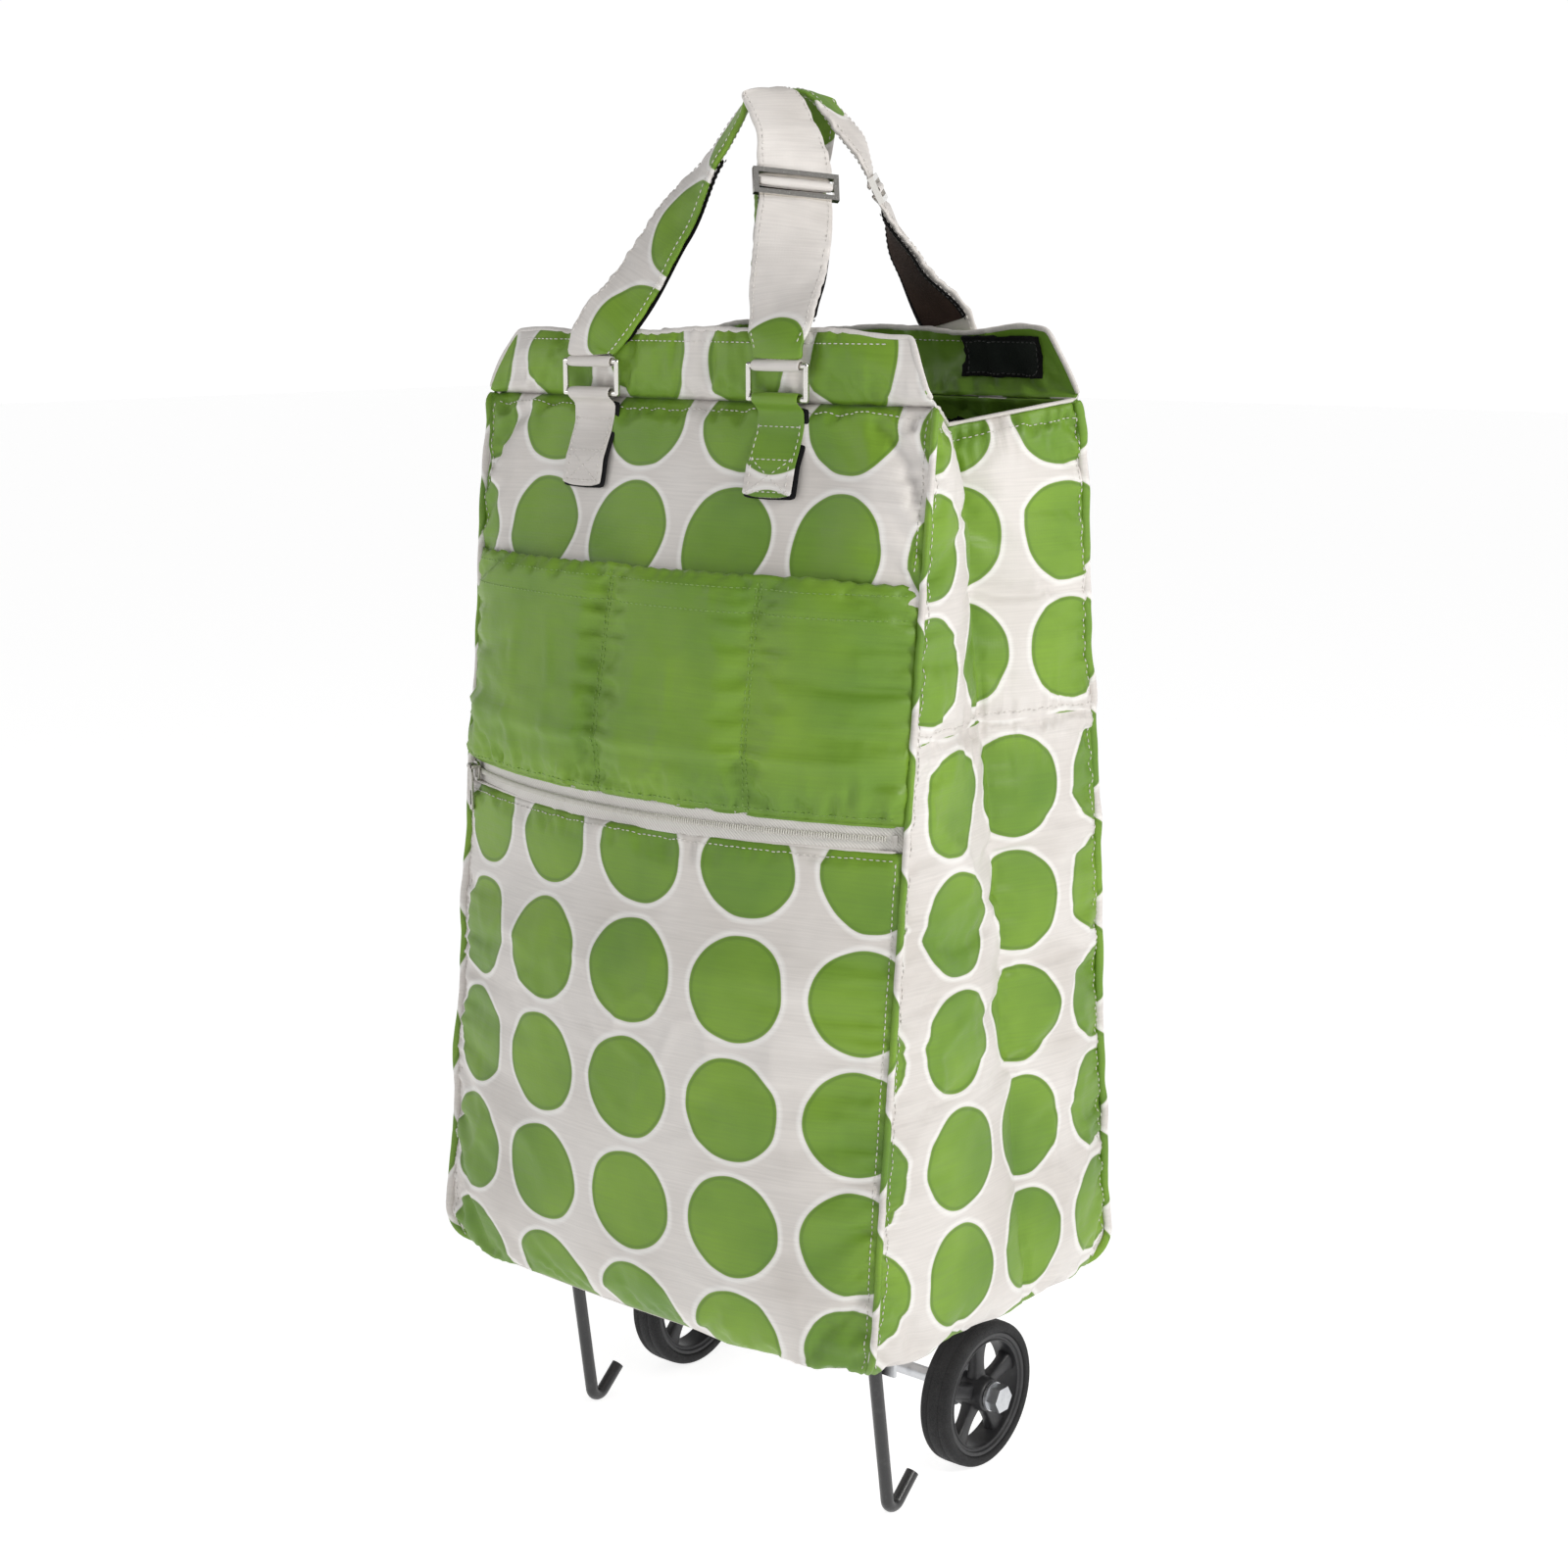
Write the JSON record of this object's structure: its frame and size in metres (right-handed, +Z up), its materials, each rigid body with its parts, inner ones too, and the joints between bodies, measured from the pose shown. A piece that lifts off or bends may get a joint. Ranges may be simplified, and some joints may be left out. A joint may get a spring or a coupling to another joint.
{
  "type": "wheeled shopping bag",
  "caption": "Folding fabric shopping bag with dot print, outside pocket, zip, strap handles on rings, rear wheels on an axle and a hooked front stand.",
  "frame": {"origin": "on the floor under the middle of the bag's bounding box, standing on its wheels and hooked stand", "axes": "+X to the right seen from the front, -Y towards the front with the pocket, +Z up"},
  "size_m": [0.3, 0.241, 0.7262],
  "materials": {
    "dot_fabric": "off-white satin polyester with a green dot print",
    "green_fabric": "plain green satin polyester",
    "zip_tape": "woven zip tape",
    "zip_coil": "nylon coil",
    "hook_and_loop_brown": "napped loop strip, dark brown with a black border",
    "hook_and_loop_black": "napped hook-and-loop, black",
    "nickel": "nickel plated wire",
    "zip_metal": "worn nickel",
    "board_grey": "pressed stiffener board",
    "zinc_steel": "zinc plated steel",
    "black_rod": "semi-gloss black paint",
    "wheel_plastic": "moulded black plastic",
    "tyre": "black rubber"
  },
  "bodies": {
    "bag": {"base_fabric": "dot_fabric", "base_board": "board_grey", "front_panel_lower": "dot_fabric", "front_panel_upper": "dot_fabric", "back_panel": "dot_fabric", "left_side_panel": "dot_fabric", "right_side_panel": "dot_fabric", "corner_bindings": "dot_fabric", "front_collar": "dot_fabric", "back_collar": "dot_fabric", "front_collar_patches": "hook_and_loop_black", "back_collar_patches": "hook_and_loop_black", "front_pocket": "green_fabric", "zipper_tape": "zip_tape", "zipper_coil": "zip_coil", "zipper_stops": "zip_metal", "front_tabs": "dot_fabric", "back_tabs": "dot_fabric", "axle": "zinc_steel", "axle_washers": "zinc_steel", "axle_nuts": "zinc_steel", "left_axle_bracket": "zinc_steel", "right_axle_bracket": "zinc_steel", "stand_clips": "zinc_steel", "stand_stops": "zinc_steel", "rivets": "zinc_steel"},
    "left_wheel": {"left_wheel_hub": "wheel_plastic", "left_wheel_tyre": "tyre"},
    "right_wheel": {"right_wheel_hub": "wheel_plastic", "right_wheel_tyre": "tyre"},
    "front_handle": {"front_handle_rings": "nickel", "front_handle_glide": "nickel", "front_handle_strap": "dot_fabric", "front_handle_tail": "dot_fabric", "front_handle_tape": "hook_and_loop_brown"},
    "back_handle": {"back_handle_rings": "nickel", "back_handle_glide": "nickel", "back_handle_strap": "dot_fabric", "back_handle_tail": "dot_fabric", "back_handle_tape": "hook_and_loop_brown"},
    "zip_slider": {"zipper_slider": "zip_metal"},
    "zip_pull": {"zipper_pull": "zip_metal"},
    "front_stand": {"stand": "black_rod"}
  },
  "joints": [
    {"name": "left_wheel_spin", "type": "hinge", "parent": "bag", "child": "left_wheel", "pos_m": [-0.105, 0.044, 0.04], "axis": [1, 0, 0], "continuous": true},
    {"name": "right_wheel_spin", "type": "hinge", "parent": "bag", "child": "right_wheel", "pos_m": [0.105, 0.044, 0.04], "axis": [1, 0, 0], "continuous": true},
    {"name": "front_handle_swing", "type": "hinge", "parent": "bag", "child": "front_handle", "pos_m": [0, -0.07145, 0.574], "axis": [1, 0, 0], "range_deg": [0, 160]},
    {"name": "back_handle_swing", "type": "hinge", "parent": "bag", "child": "back_handle", "pos_m": [0, 0.07145, 0.574], "axis": [-1, 0, 0], "range_deg": [0, 160]},
    {"name": "zip_travel", "type": "hinge", "parent": "bag", "child": "zip_slider", "pos_m": [0, 0.21381, 0.371], "axis": [0, 0, 1], "range_deg": [0, 49.68]},
    {"name": "zip_pull_lift", "type": "hinge", "parent": "zip_slider", "child": "zip_pull", "pos_m": [-0.13992, -0.08849, 0.37375], "axis": [-0.9075, 0.42, 0], "range_deg": [0, 150]},
    {"name": "stand_fold", "type": "hinge", "parent": "bag", "child": "front_stand", "pos_m": [0, -0.05, 0.09845], "axis": [-1, 0, 0], "range_deg": [0, 98]}
  ]
}
